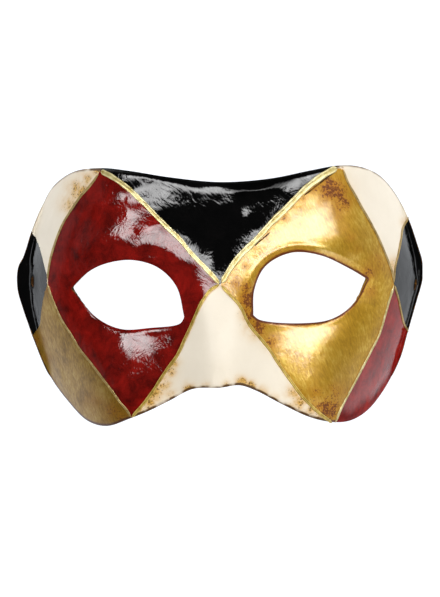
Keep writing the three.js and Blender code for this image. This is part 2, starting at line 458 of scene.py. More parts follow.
@dataclass(frozen=True)
class Wax:
    """Umber wax that was rubbed over a dry paint and wiped off, and stays in specks and hollows."""

    thin: str
    thick: str
    speck_mm: float = 0.9
    drift_mm: float = 5.0
    edge_mm: float = 1.6
    edge_share: float = 0.5
    band_mm: float = 0.9
    band_share: float = 0.5
    least: float = 0.15
    most: float = 1.25
    speck_lift: float = 0.2  # how much closer the specks lie where there is more wax
    line_mm: Spot = (0.6, 1.5)  # up to where a line along the very edge is whole, and where it ends
    line_share: float = 3.4  # how much of it stays as that line

    def cover(self, tree: bpy.types.NodeTree, colour: Socket, place: Socket) -> tuple[Socket, Socket]:
        """Rubs the wax over a colour.

        Args:
            tree: The finish's node tree.
            colour: The clean colour.
            place: The coordinates that the specks follow.

        Returns:
            The waxed colour, and how much wax there is, from 0 to 1.
        """
        # the wax note carries the wax spots and the painted shade of the gold's fold
        wax_and_fold_shade, edge, band = (
            add_node(tree, "Attribute", {"attribute_name": name}).outputs["Fac"]
            for name in ("wax", "edge_mm", "band_mm")
        )
        most = wax_and_fold_shade
        for depth, reach, share in (
            (edge, self.edge_mm, self.edge_share), (band, self.band_mm, self.band_share)
        ):
            there = add_node(
                tree, "MapRange", SOFTLY, Value=depth, From_Max=reach, To_Min=share, To_Max=0.0
            ).outputs["Result"]
            most = add_node(tree, "Math", {"operation": "MAXIMUM"}, i0=most, i1=there).outputs[0]
        drift, specks = (
            add_node(
                tree, "TexNoise", Vector=place, Scale=1000 / size, Detail=detail, Roughness=roughness
            ).outputs["Fac"]
            for size, detail, roughness in ((self.drift_mm, 4.0, 0.6), (self.speck_mm, 5.0, 0.7))
        )
        wiped = add_node(
            tree, "MapRange", Value=drift, From_Min=0.32, From_Max=0.66, To_Min=self.least, To_Max=self.most
        ).outputs["Result"]
        amount = add_node(tree, "Math", CLAMPED_PRODUCT, i0=most, i1=wiped).outputs[0]
        specks = add_node(
            tree, "Math", {"operation": "MULTIPLY_ADD"}, i0=amount, i1=self.speck_lift, i2=specks
        ).outputs[0]
        specks = add_node(
            tree, "MapRange", SOFTLY, Value=specks, From_Min=0.69, From_Max=0.76, To_Max=0.9
        ).outputs["Result"]
        close = add_node(
            tree, "MapRange", Value=edge, From_Min=self.line_mm[0], From_Max=self.line_mm[1],
            To_Min=self.line_share, To_Max=0.0,
        ).outputs["Result"]
        line = add_node(tree, "Math", CLAMPED_PRODUCT, i0=close, i1=amount).outputs[0]
        dense = add_node(tree, "Math", {"operation": "MAXIMUM"}, i0=specks, i1=line).outputs[0]
        faint = add_node(tree, "Math", {"operation": "MULTIPLY"}, i0=amount, i1=0.9).outputs[0]
        for share, stain in ((faint, self.thin), (dense, self.thick)):
            colour = add_node(tree, "Mix", OF_COLOURS, i0=share, i6=colour, i7=linear(stain)).outputs[2]
        return colour, amount


@dataclass(frozen=True)
class IvoryPaint:
    """Ivory acrylic over gesso, waxed and buffed: a soft satin with faint clouds and wax specks."""

    light: str = "#E8DFCE"
    shade: str = "#DACFBC"
    cloud_mm: float = 16.0
    stroke_mm: float = 1.6
    stroke_depth_mm: float = 0.08
    wax: Wax = Wax(thin="#C8962C", thick="#50330A", edge_share=0.34, least=0.3)

    def material(self) -> bpy.types.Material:
        """Mixes the finish.

        Returns:
            The finish as a material.
        """
        made, tree, shader, place = start_material("ivory_satin_paint")
        clouds = add_node(
            tree, "TexNoise", Vector=place, Scale=1000 / self.cloud_mm, Detail=6.0, Roughness=0.6
        ).outputs["Fac"]
        paint = add_node(
            tree, "Mix", OF_COLOURS, i0=clouds, i6=linear(self.light), i7=linear(self.shade)
        ).outputs[2]
        waxed, _ = self.wax.cover(tree, paint, place)
        strokes = add_node(tree, "TexNoise", Vector=place, Scale=1000 / self.stroke_mm, Detail=3.0)
        relief = add_node(
            tree, "Bump", Strength=0.6, Distance=self.stroke_depth_mm * MM, Height=strokes.outputs["Fac"]
        ).outputs["Normal"]
        fill_inputs(shader, Base_Color=waxed, Roughness=0.42, Specular_IOR_Level=0.35, Normal=relief)
        return made


@dataclass(frozen=True)
class GoldLeaf:
    """Imitation gold leaf over a red-brown ground, burnished and waxed.

    It is a soft metallic sheen, broken by the leaf's creases and by amber places where it is thin.
    """

    name: str
    deep: str
    colour: str
    bright: str
    wax: Wax
    coat: float = 1.0
    bare_mm: float = 0.0  # how far in from the rim its varnish is thin
    cloud_mm: float = 12.0
    streak_mm: float = 0.9
    streak_length: float = 3.4  # in its own widths
    streak_turn: float = 24.0
    crease_mm: float = 3.2
    crease_depth_mm: float = 0.16

    def material(self) -> bpy.types.Material:
        """Mixes the finish.

        Returns:
            The finish as a material.
        """
        made, tree, shader, place = start_material(self.name)
        along_streaks = add_node(
            tree, "Mapping", {"vector_type": "TEXTURE"}, Vector=place, Scale=(1.0, self.streak_length, 1.0),
            Rotation=(0, 0, math.radians(self.streak_turn)),
        ).outputs["Vector"]
        clouds, streaks, creases = (
            add_node(
                tree, "TexNoise", Vector=at, Scale=1000 / size, Detail=detail, Roughness=roughness
            ).outputs["Fac"]
            for at, size, detail, roughness in (
                (place, self.cloud_mm, 6.0, 0.65), (along_streaks, self.streak_mm, 4.0, 0.65),
                (place, self.crease_mm, 4.0, 0.6),
            )
        )
        uneven = add_node(tree, "Mix", OF_NUMBERS, i0=0.52, i2=clouds, i3=streaks).outputs[0]
        leaf = blend_of_three(add_node(tree, "ValToRGB", Fac=uneven), self.deep, self.colour, self.bright)
        waxed, amount = self.wax.cover(tree, leaf, place)
        metallic = add_node(tree, "MapRange", Value=amount, To_Min=0.6, To_Max=0.15).outputs["Result"]
        dullness = add_node(
            tree, "MapRange", Value=uneven, From_Min=0.35, From_Max=0.65, To_Min=0.52, To_Max=0.36
        ).outputs["Result"]
        height = add_node(tree, "Mix", OF_NUMBERS, i0=0.4, i2=creases, i3=streaks).outputs[0]
        relief = add_node(tree, "Bump", Distance=self.crease_depth_mm * MM, Height=height).outputs["Normal"]
        varnish = add_node(
            tree, "MapRange", Value=amount, From_Max=0.8, To_Min=self.coat, To_Max=0.0
        ).outputs["Result"]
        if self.bare_mm:
            whole = varnish_share(tree, clouds, self.bare_mm)
            varnish = add_node(tree, "Math", {"operation": "MULTIPLY"}, i0=varnish, i1=whole).outputs[0]
        fill_inputs(
            shader, Base_Color=waxed, Metallic=metallic, Roughness=dullness, Specular_IOR_Level=0.3,
            Normal=relief, Coat_Weight=varnish, Coat_Roughness=0.2, Coat_IOR=1.72, Coat_Normal=relief,
        )
        return made


@dataclass(frozen=True)
class BandGilding:
    """Pale gold paint drawn thickly with a fine brush: bright metal on its ridges, olive between.

    The bright ridges are a painted highlight and the olive between them is painted shade, as on a
    raised band lit from above. Its brush strokes vary its tone at random as well.
    """

    name: str
    light: str
    shade: str
    stroke_mm: float = 2.4
    ridge_highlight_share: float = 0.5  # how much less of the shade colour a ridge gets: a painted highlight

    def material(self) -> bpy.types.Material:
        """Mixes the finish.

        Returns:
            The finish as a material.
        """
        made, tree, shader, place = start_material(self.name)
        strokes = add_node(
            tree, "TexNoise", Vector=place, Scale=1000 / self.stroke_mm, Detail=4.0, Roughness=0.6
        ).outputs["Fac"]
        shades = add_node(
            tree, "MapRange", Value=strokes, From_Min=0.35, From_Max=0.68, To_Max=0.6
        ).outputs["Result"]
        # the olive between the ridges, where this lifts the shade colour, is painted shade
        between = add_node(tree, "Math", {"operation": "ADD"}, i0=shades, i1=self.ridge_highlight_share).outputs[0]
        share = add_node(
            # each ridge sheds that shade and is painted bright: a painted highlight
            tree, "Math", {"operation": "MULTIPLY_ADD", "use_clamp": True},
            i0=add_node(tree, "Attribute", {"attribute_name": "ridge"}).outputs["Fac"],
            i1=-self.ridge_highlight_share, i2=between,
        ).outputs[0]
        paint = add_node(
            tree, "Mix", OF_COLOURS, i0=share, i6=linear(self.light), i7=linear(self.shade)
        ).outputs[2]
        fill_inputs(shader, Base_Color=paint, Metallic=0.4, Roughness=0.38)
        return made


@dataclass(frozen=True)
class RimPaint:
    """Thin dark umber paint on the cut edges, rubbed through to the paper in matt places."""

    paint: str = "#3E2408"
    rubbed: str = "#A0702A"
    ivory: str = "#D8CDB8"  # on the edge of the ivory temples
    gilded: str = "#9A7224"  # on the edge of the eye hole in the gold
    rub_mm: float = 3.0

    def material(self) -> bpy.types.Material:
        """Mixes the finish.

        Returns:
            The finish as a material.
        """
        made, tree, shader, place = start_material("umber_edge_paint")
        noise = add_node(tree, "TexNoise", Vector=place, Scale=1000 / self.rub_mm, Detail=5.0, Roughness=0.7)
        worn = add_node(tree, "MapRange", Value=noise.outputs["Fac"], From_Min=0.5, From_Max=0.72)
        pale, gilt = (
            add_node(tree, "Attribute", {"attribute_name": name}).outputs["Fac"] for name in ("pale", "gilt")
        )
        colour = linear(self.paint)
        for share, over in ((worn.outputs["Result"], self.rubbed), (pale, self.ivory), (gilt, self.gilded)):
            colour = add_node(tree, "Mix", OF_COLOURS, i0=share, i6=colour, i7=linear(over)).outputs[2]
        fill_inputs(shader, Base_Color=colour, Roughness=0.6, Specular_IOR_Level=0.1)
        return made


@dataclass(frozen=True)
class BarePaper:
    """Unpainted papier-mache: torn strips of grey-brown paper under a coat of matt paste."""

    light: str = "#CFC3AE"
    shade: str = "#AE9F86"
    strip_mm: float = 17.0
    fibre_mm: float = 1.2
    lap_depth_mm: float = 0.2

    def material(self) -> bpy.types.Material:
        """Mixes the finish.

        Returns:
            The finish as a material.
        """
        made, tree, shader, place = start_material("bare_papier_mache")
        strips, tears = (
            add_node(tree, "TexVoronoi", {"feature": feature}, Vector=place, Scale=1000 / self.strip_mm)
            for feature in ("F1", "DISTANCE_TO_EDGE")
        )
        fibre = add_node(
            tree, "TexNoise", Vector=place, Scale=1000 / self.fibre_mm, Detail=6.0, Roughness=0.7
        ).outputs["Fac"]
        share = add_node(tree, "Mix", OF_NUMBERS, i0=0.5, i2=strips.outputs["Color"], i3=fibre).outputs[0]
        colour = add_node(
            tree, "Mix", OF_COLOURS, i0=share, i6=linear(self.light), i7=linear(self.shade)
        ).outputs[2]
        laps = add_node(tree, "MapRange", Value=tears.outputs["Distance"], From_Max=0.06).outputs["Result"]
        height = add_node(tree, "Mix", OF_NUMBERS, i0=0.35, i2=laps, i3=fibre).outputs[0]
        relief = add_node(
            tree, "Bump", Strength=0.8, Distance=self.lap_depth_mm * MM, Height=height
        ).outputs["Normal"]
        fill_inputs(shader, Base_Color=colour, Roughness=0.85, Normal=relief)
        return made


# The form


@dataclass(frozen=True)
class Hill:
    """A soft hill or hollow of the face, in mm and degrees. Its turn raises its outer end."""

    x: float
    y: float
    wide: float
    tall: float
    high: float
    turn: float = 0.0

    def height(self, x: Points, y: Points) -> Points:
        """How high it stands at each point.

        Args:
            x: The points' places across.
            y: The points' places up.

        Returns:
            The heights.
        """
        cos, sin = math.cos(math.radians(self.turn)), math.sin(math.radians(self.turn))
        along = (x - self.x) * cos + (y - self.y) * sin
        across = (y - self.y) * cos - (x - self.x) * sin
        return self.high * np.exp(-((along / self.wide) ** 2) - (across / self.tall) ** 2)


@dataclass(frozen=True)
class Temple:
    """How far the dome reaches on one side, and how that falls off above and below y, in mm."""

    reach: float
    y: float
    taper: float
    round: float


@dataclass(frozen=True)
class Outline:
    """The rim, the eye holes and the ribbon slots as seen from the front, in mm."""

    rim: tuple[Spot, ...] = (
        (-49.3, 53.7), (-37.4, 52.4), (-20.8, 49.7), (0, 47.7), (20.8, 49.2), (37.4, 52.6),
        (49.6, 54.8), (58.5, 54.3), (66.4, 51), (73.4, 43.3), (78.5, 33.2), (82.3, 22.4),
        (84.7, 13.6), (84.6, 7), (82, -2.6), (78.5, -14.8), (75.4, -25.5), (69.3, -38),
        (61.6, -47.6), (54.5, -51.7), (47.5, -52.4), (37.4, -50.3), (25, -44.5), (14.5, -39),
        (8, -36.9), (0, -37.9), (-11, -38.4), (-20.8, -43.3), (-29, -47.4), (-37, -50.7),
        (-47, -54), (-55, -52), (-63.5, -43.8), (-71.4, -33), (-78.5, -16.2), (-82.6, -5),
        (-84.9, 3.6), (-84.6, 12.2), (-81.9, 17.6), (-79, 26.6), (-75.2, 36.2), (-70, 46),
        (-61, 52.3),
    )
    eyes: tuple[tuple[tuple[Spot, ...], ...], ...] = (  # the upper edge of each, then the lower
        (
            ((-61.7, 3.3), (-54, 10.4), (-45.7, 13.8), (-35.5, 14.7), (-25.5, 11.5), (-18.2, 3.9),
             (-15, -8.6)),
            ((-15, -8.6), (-16.8, -11), (-29, -12.7), (-41, -13.2), (-51.5, -8.4), (-61.7, 3.3)),
        ),
        (
            ((14, -7.6), (14.4, 2.6), (19, 12.4), (29.6, 17.9), (41.6, 16.8), (54, 11.2),
             (61.1, 7.1)),
            ((61.1, 7.1), (55.5, -2.8), (46.5, -9), (33, -10.8), (16.6, -9.4), (14, -7.6)),
        ),
    )
    slots: tuple[Spot, ...] = ((-78.4, 6.2), (81.8, 5))
    slot_half: Spot = (0.95, 2.1)  # on the unrolled skin
    slot_corners: int = 24

    def rim_loop(self) -> Points:
        """The rim as a dense closed run."""
        return spline(self.rim, closed=True)

    def eye_loops(self) -> list[Points]:
        """Each eye hole as a dense closed run."""
        return [np.vstack([spline(edge, steps=9)[:-1] for edge in eye]) for eye in self.eyes]


@dataclass(frozen=True)
class Face:
    """The mask's form: a dome from temple to temple with the features of a face on it, in mm.

    Its depth is guessed. Its curves and hills were fitted, together with the softbox, to where the
    photograph's highlights fall. One view can't tell form from light, so they are a likely form only.
    """

    rise: float = 60.0  # of the dome
    power: float = 2.97  # the two powers by which the dome curves down to the temples
    root: float = 0.8
    cut: float = 0.975  # the share of that whole curve at which the temples end
    lean_middle: float = 1.2  # the height at which the dome leans back neither way
    lean_height: float = 54.0  # above and below it, where it has lost the shares that follow
    forehead_lean: Spot = (0.156, 2.1)  # the share of the rise, and the power that the loss grows by
    cheek_lean: Spot = (0.01, 3.9)
    left: Temple = Temple(reach=81.0, y=7.0, taper=0.36, round=16.0)
    right: Temple = Temple(reach=82.9, y=9.0, taper=0.33, round=10.0)
    rim_slope: float = 0.62  # by which the skin rises from the rim at its steepest
    rim_blend: float = 0.7  # how softly that slope passes into the dome
    rolled_drop: float = 2.0  # how far the paper rolls down at the rim
    rolled_width: float = 0.9  # how far in the roll fades
    eye_drop: float = 0.8  # how far the paper turns down at the eye holes
    eye_width: float = 0.8
    eye_ridge: float = 0.24  # the soft ridge over the right eye hole
    ridge_off: float = 3.3  # from the hole's edge
    ridge_width: float = 0.9
    ridge_from: Spot = (0.0, -2.0)  # where it sets out, across and up
    ridge_full: Spot = (12.0, 6.0)
    relief_room: float = 12.0  # the height of the dome by which its features are at full depth
    lip: float = 0.4  # how high the skin stays over the table, and how softly it comes down there
    brows: Hill = Hill(26.8, 8.6, 33.9, 13.9, 8.6, 18.3)
    sockets: Hill = Hill(36.6, 1.2, 27.4, 15.7, -11.2)
    cheeks: Hill = Hill(43.1, -45.9, 19.6, 19.0, 8.2, -34.0)
    bridge_hollow: Hill = Hill(0.0, 0.6, 6.2, 12.9, -3.6)
    nose_root: float = 18.8
    nose_tip: float = -38.0
    nose_widths: Spot = (10.0, 16.9)  # at its root and at its tip
    nose_high: float = 16.4
    outline: Outline = field(default_factory=Outline)
    pressed: tuple[Hill, ...] = (  # shallow, fitted so that the forehead's highlights fall as photographed
        Hill(-5.4, 43.4, 14.0, 2.2, 0.13, -8.4), Hill(4.5, 38.7, 4.6, 3.9, 0.46, -9.6),
        Hill(-4.0, 25.0, 2.9, 14.0, -0.6, -9.2), Hill(11.1, 43.9, 9.0, 2.2, 0.6, 1.3),
        Hill(-36.3, 39.7, 10.2, 3.6, 0.56, 6.4), Hill(-11.4, 10.3, 5.2, 3.8, -0.32, -3.0),
        Hill(16.7, 44.1, 8.1, 2.2, 0.6, 14.2), Hill(-6.3, 34.5, 9.6, 14.0, 0.6, 40.9),
        Hill(15.0, 28.1, 4.5, 6.4, -0.34, -37.7), Hill(-30.3, 17.8, 8.6, 2.4, -0.4, -6.2),
        Hill(-39.7, 39.6, 14.0, 4.7, -0.6, 33.5), Hill(31.8, 45.2, 14.0, 2.7, 0.13, 25.0),
        Hill(10.2, 37.9, 2.2, 4.7, -0.6, 9.5), Hill(-13.5, 14.2, 10.1, 5.1, 0.6, -25.8),
        Hill(-30.3, 33.9, 11.8, 4.4, 0.36, 16.6), Hill(-35.0, 22.8, 2.7, 5.0, -0.6, -16.4),
    )
    unroll_to: float = 1.1  # of the reach, so that the unrolled skin goes past the rim
    unroll_steps: int = 440

    def reach(self, x: Points, y: Points) -> Points:
        """How far the dome reaches from its middle.

        Args:
            x: Places from the front, across. Only their side counts.
            y: Places from the front, up.

        Returns:
            Half the dome's width at each place's height, on its side.
        """
        left, right = (
            t.reach - t.taper * (np.hypot(y - t.y, t.round) - t.round) for t in (self.left, self.right)
        )
        return np.where(x < 0, left, right)

    def dome_share(self, share: Points) -> Points:
        """Height of the dome over its cut at a share of its reach, as a share of the whole."""
        edge = (1 - self.cut**self.power) ** self.root
        return (1 - np.minimum(1, self.cut * share) ** self.power) ** self.root - edge

    def height(self, x: Points, y: Points, inwards: Points) -> Points:
        """Height of the face over the table.

        Args:
            x: Places from the front, across.
            y: Places from the front, up.
            inwards: Each place's distance in from the rim, as seen from the front.

        Returns:
            The heights, in mm.
        """
        share, power = (
            np.where(y > self.lean_middle, up, down)
            for up, down in zip(self.forehead_lean, self.cheek_lean)
        )
        lost = share * (np.abs(y - self.lean_middle) / self.lean_height) ** power
        dome = self.rise * (1 - lost) * self.dome_share(np.abs(x) / self.reach(x, y))
        ramp = self.rim_slope * inwards
        body = (dome + ramp + np.hypot(dome - ramp, self.rim_blend) - self.rim_blend) / 2
        down = smootherstep(self.nose_root - y, 0, self.nose_root - self.nose_tip)
        nose_width = np.interp(down, (0, 1), self.nose_widths)
        relief = self.nose_high * down * np.exp(-((x / nose_width) ** 2))
        relief += self.bridge_hollow.height(x, y)
        for feature in (self.brows, self.sockets, self.cheeks):
            relief += feature.height(x, y) + feature.height(-x, y)
        relief -= self.rolled_drop * np.exp(-np.maximum(0, inwards) / self.rolled_width)
        depth = body + relief * smoothstep(dome, 0, self.relief_room)
        depth += sum(mark.height(x, y) for mark in self.pressed)
        return (depth + self.lip + np.hypot(depth - self.lip, self.lip)) / 2

    def unrolled(self) -> Points:
        """Unrolls the dome's curve.

        Returns:
            The length along it from the middle, for equal steps of its reach up to unroll_to.
        """
        shares = np.linspace(0, self.unroll_to, self.unroll_steps + 1)
        across = self.right.reach * np.diff(shares)
        down = np.maximum(self.rim_slope * across, -self.rise * np.diff(self.dome_share(shares)))
        return np.concatenate([[0], np.cumsum(np.hypot(across, down))])

    def flat(self, seen: Points) -> Points:
        """Where points seen from the front lie on the unrolled skin.

        Args:
            seen: The points as seen from the front.

        Returns:
            The same points on the unrolled skin.
        """
        x, y = seen.T
        place = np.abs(x) / self.reach(x, y) / self.unroll_to
        lengths = self.unrolled()
        along = np.interp(place, np.linspace(0, 1, len(lengths)), lengths)
        return np.column_stack([np.sign(x) * along, y])

    def seen(self, flat: Points) -> Points:
        """Where points of the unrolled skin are seen from the front.

        Args:
            flat: Points of the unrolled skin.

        Returns:
            The same points as seen from the front.
        """
        x, y = flat.T
        lengths = self.unrolled()
        place = np.interp(np.abs(x), lengths, np.linspace(0, 1, len(lengths)))
        return np.column_stack([np.sign(x) * place * self.unroll_to * self.reach(x, y), y])

    def skin(self, flat: Points) -> Points:
        """Lays points of the unrolled skin on the face.

        Args:
            flat: Points of the unrolled skin.

        Returns:
            Their places on the face, on the drawing's three axes.
        """
        seen = self.seen(flat)
        rim = self.outline.rim_loop()
        inwards = nearest_on(rim, seen, closed=True)[0]
        inwards[~is_inside(rim, seen)] *= -1
        up = self.height(seen[:, 0], seen[:, 1], inwards)
        off = np.minimum(*(nearest_on(loop, seen, closed=True)[0] for loop in self.outline.eye_loops()))
        ridge = self.eye_ridge * np.exp(-(((off - self.ridge_off) / self.ridge_width) ** 2))
        for along, start, full in zip(seen.T, self.ridge_from, self.ridge_full):
            ridge *= smoothstep(along, start, full)
        up += ridge
        return np.column_stack([seen, up - self.eye_drop * np.exp(-off / self.eye_width)])


# The pattern


@dataclass(frozen=True)
class PaintedLine:
    """The middle of a painted line as seen from the front, in mm, and half its gilt band's width."""

    points: tuple[Spot, ...]
    half_width: float = 0.0

    def flat(self, face: Face) -> Points:
        """The line on the unrolled skin, as a dense run."""
        return spline(face.flat(np.array(self.points, float)), steps=10)


class Finish(Enum):
    """A finish of the shell. The value is its place among the shell's materials."""

    IVORY = 0
    LINING = 1
    RIM = 2
    BLACK = 3
    RED = 4
    GOLD = 5
    # the gold of the lower left side, painted darker than over the right eye: painted shade
    OLD_GOLD = 6
    # the red of the lower right side, painted brighter than over the left eye: painted light
    WORN_RED = 7


LINES = {
    "forehead_left": PaintedLine((
        (-49.7, 52.4), (-48.4, 51.6), (-45.7, 50.1), (-41.6, 47.4), (-37.4, 44.3), (-33.2, 40.1),
        (-29.1, 36.0), (-24.9, 31.8), (-20.8, 27.6), (-16.6, 23.5), (-12.5, 18.7), (-8.3, 14.3),
        (-4.2, 9.8), (0.0, 5.2)), 1.05),
    "temple_left": PaintedLine((
        (-50.7, 50.9), (-54.0, 46.3), (-58.2, 41.8), (-62.3, 35.9), (-65.3, 31.0), (-67.3, 26.4),
        (-69.4, 20.6), (-71.1, 14.3), (-72.1, 6.9)), 0.72),
    "cheek_outer_left": PaintedLine((
        (-72.1, 5.2), (-71.1, 1.5), (-69.4, -2.7), (-66.5, -8.9), (-62.3, -15.6), (-58.2, -22.2),
        (-54.0, -27.2), (-49.9, -32.6), (-45.7, -38.0), (-41.6, -43.4), (-38.7, -46.8),
        (-36.6, -50.1)), 0.62),
    "nose_left": PaintedLine((
        (0.0, 5.2), (-4.2, 2.3), (-6.2, -0.2), (-8.3, -3.5), (-10.4, -8.1), (-12.5, -13.1),
        (-14.5, -17.2), (-16.6, -21.8), (-18.7, -25.6), (-20.8, -28.5), (-24.9, -34.7),
        (-29.1, -40.9), (-33.2, -46.3), (-36.6, -50.1)), 0.68),
    "forehead_right": PaintedLine((
        (48.8, 53.3), (45.9, 52.0), (41.9, 49.8), (37.7, 46.5), (33.5, 42.7), (29.4, 38.6),
        (25.2, 34.4), (21.1, 30.2), (16.9, 25.7), (12.8, 21.5), (8.5, 17.0), (4.3, 11.7),
        (0.4, 5.6)), 1.3),
    "temple_right": PaintedLine((
        (51.1, 53.0), (53.2, 47.6), (56.1, 42.6), (59.0, 37.2), (62.3, 31.4), (66.5, 23.5),
        (69.8, 16.0), (71.9, 10.2), (72.7, 5.6)), 0.6),
    "cheek_outer_right": PaintedLine((
        (72.7, 4.4), (71.1, -0.6), (69.0, -7.7), (66.5, -16.0), (62.3, -24.3), (58.2, -31.8),
        (54.0, -39.7), (50.7, -45.9), (47.8, -52.2)), 0.6),
    "nose_right": PaintedLine((
        (0.4, 4.8), (4.2, 0.6), (8.3, -3.9), (12.5, -11.8), (17.5, -18.1), (20.8, -22.2),
        (24.9, -28.5), (29.1, -34.7), (33.2, -40.1), (37.4, -44.7), (41.6, -48.8), (46.5, -52.2)),
        0.62),
    "side_top_left": PaintedLine((
        (-78.5, 26.4), (-76.9, 23.5), (-74.8, 17.7), (-73.6, 13.1), (-72.3, 8.5))),
    "side_low_left": PaintedLine((
        (-72.3, 4.8), (-73.6, 0.6), (-74.8, -5.6), (-75.6, -11.8), (-78.1, -16.0))),
    "side_top_right": PaintedLine((
        (79.0, 33.0), (76.5, 28.5), (75.6, 23.5), (74.4, 17.2), (73.1, 11.8), (72.7, 6.4)), 0.42),
    "side_low_right": PaintedLine((
        (72.7, 5.2), (74.4, -0.2), (75.6, -5.6), (76.9, -10.6), (78.8, -14.8)), 0.42),
}
STROKES = (  # thin umber strokes on the gold, beside the right forehead band
    PaintedLine(((34.4, 41.4), (38.6, 44.8), (42.4, 47.8), (45.7, 50.2), (49.1, 52.7)), 0.34),
    PaintedLine(((13.7, 20.4), (16.2, 22.7), (18.7, 24.9), (21.1, 27.1)), 0.32),
)


@dataclass(frozen=True)
class Harlequin:
    """The diamonds: which finish covers which part of the unrolled skin.

    Its fields are corners past the rim, where the rim cuts a diamond off.
    """

    face: Face
    over_forehead: tuple[Spot, ...] = ((56, 90), (-56, 90))
    under_left: tuple[Spot, ...] = ((-150, -30), (-150, -90), (-30, -90))
    under_right: tuple[Spot, ...] = ((150, -30), (150, -90), (42, -90))
    beside_left: tuple[Spot, ...] = ((-150, -30), (-150, 50))
    beside_right: tuple[Spot, ...] = ((150, -30), (150, 50))

    def finishes(self, flat: Points) -> np.ndarray:
        """The finish of each point of the unrolled skin.

        Args:
            flat: Points of the unrolled skin.

        Returns:
            For each point, the value of its Finish.
        """
        line = {name: painted.flat(self.face) for name, painted in LINES.items()}
        diamonds = (
            (Finish.BLACK, line["forehead_left"], line["forehead_right"][::-1], self.over_forehead),
            (Finish.RED, line["forehead_left"], line["nose_left"], line["cheek_outer_left"][::-1],
             line["temple_left"][::-1]),
            (Finish.GOLD, line["forehead_right"], line["nose_right"], line["cheek_outer_right"][::-1],
             line["temple_right"][::-1]),
            # the lower left diamond is the right eye's gold painted darker: painted shade
            (Finish.OLD_GOLD, line["side_low_left"], self.under_left, line["cheek_outer_left"][::-1]),
            # the lower right diamond is the left eye's red painted brighter: painted light
            (Finish.WORN_RED, line["side_low_right"], self.under_right, line["cheek_outer_right"][::-1]),
            (Finish.BLACK, line["side_top_left"], line["side_low_left"], self.beside_left),
            (Finish.BLACK, line["side_top_right"], line["side_low_right"], self.beside_right),
        )
        found = np.full(len(flat), Finish.IVORY.value)
        for finish, *runs in diamonds:
            found[is_inside(np.vstack(runs), flat)] = finish.value
        return found


@dataclass(frozen=True)
class Patina:
    """Where the umber wax has stayed: round spots of x, y and radius in mm, and their strength.

    The four along a fold in the gold, right of its brow, are painted shade.
    """

    spots: tuple[tuple[float, float, float, float], ...] = (
        (-59.3, 44.3, 4.6, 1.2), (-50.9, 52.8, 2.8, 1.6), (-62.4, 38.5, 4.5, 0.8), (-55.5, 49.0, 4.0, 0.8),
        (-19.5, -27.2, 2.6, 1.0), (-21.6, -31.0, 3.2, 1.3), (-24.0, -35.0, 3.6, 1.4),
        (-27.0, -39.5, 3.8, 1.3), (-30.0, -44.0, 3.6, 1.1), (-33.5, -47.0, 3.0, 1.2),
        (-20.0, -41.5, 3.0, 0.9), (-13.0, -38.0, 2.4, 1.2), (-6.0, -37.2, 1.8, 1.0),
        (3.0, -36.5, 1.8, 1.0), (9.0, -35.6, 2.4, 1.7), (12.5, -37.0, 2.2, 1.6), (17.5, -39.5, 2.2, 1.2),
        (22.0, -42.4, 2.2, 0.9), (29.0, -46.2, 2.6, 1.0), (35.0, -48.8, 2.6, 1.0),
        (41.0, -50.8, 2.4, 1.0), (30.4, -39.5, 3.2, 1.3), (33.5, -43.5, 3.4, 1.5), (37.0, -46.5, 3.0, 1.3),
        # these four paint the shade of a shallow fold in the gold, right of its brow
        (49.5, 33.5, 2.4, 0.45), (52.0, 29.0, 2.4, 0.5), (54.5, 24.5, 2.4, 0.5), (57.0, 20.0, 2.6, 0.45),
        (47.0, 44.3, 5.8, 1.4), (50.5, 39.0, 4.5, 1.1), (44.0, 49.0, 3.4, 1.0),
        (39.5, 45.0, 2.6, 0.8), (34.5, 40.5, 2.2, 0.8), (26.5, 33.0, 2.4, 0.8),
        (18.5, 25.0, 2.0, 0.7), (13.5, 19.5, 2.0, 0.6), (11.0, 13.0, 2.4, 0.5),
        (11.6, -1.5, 3.6, 1.4), (12.2, -7.7, 3.4, 1.5), (10.6, 4.0, 2.8, 1.0),
        (15.0, -12.5, 4.2, 1.4), (21.0, -19.0, 3.6, 0.9), (7.1, 6.0, 3.2, 0.8),
        (44.9, -46.3, 6.0, 1.3), (40.0, -41.0, 4.5, 0.8), (48.0, -40.0, 4.5, 0.7),
        (61.8, 10.0, 3.0, 0.8), (63.0, 2.0, 2.6, 0.6), (66.0, 14.0, 4.0, 0.5), (78.1, 31.0, 2.2, 0.8),
        (73.4, 13.5, 3.4, 0.7),
        (-44.5, -47.2, 5.0, 0.9), (-40.5, -50.0, 3.4, 1.0), (-52.0, -44.0, 5.0, 0.6),
        (-76.5, -18.0, 3.5, 0.8), (-73.0, -26.0, 3.0, 0.5), (-72.5, 3.0, 2.0, 0.6),
    )

    def amount(self, seen: Points) -> np.ndarray:
        """How much wax may stay at points.

        Args:
            seen: The points as seen from the front.

        Returns:
            The wax at each, where 1 is a full coat that was never wiped; along the fold, painted shade.
        """
        found = np.zeros(len(seen))
        for x, y, radius, strength in self.spots:
            away = ((seen[:, 0] - x) ** 2 + (seen[:, 1] - y) ** 2) / radius**2
            found = np.maximum(found, strength * np.exp(-away))
        return found


# Surface of the paper under the paint


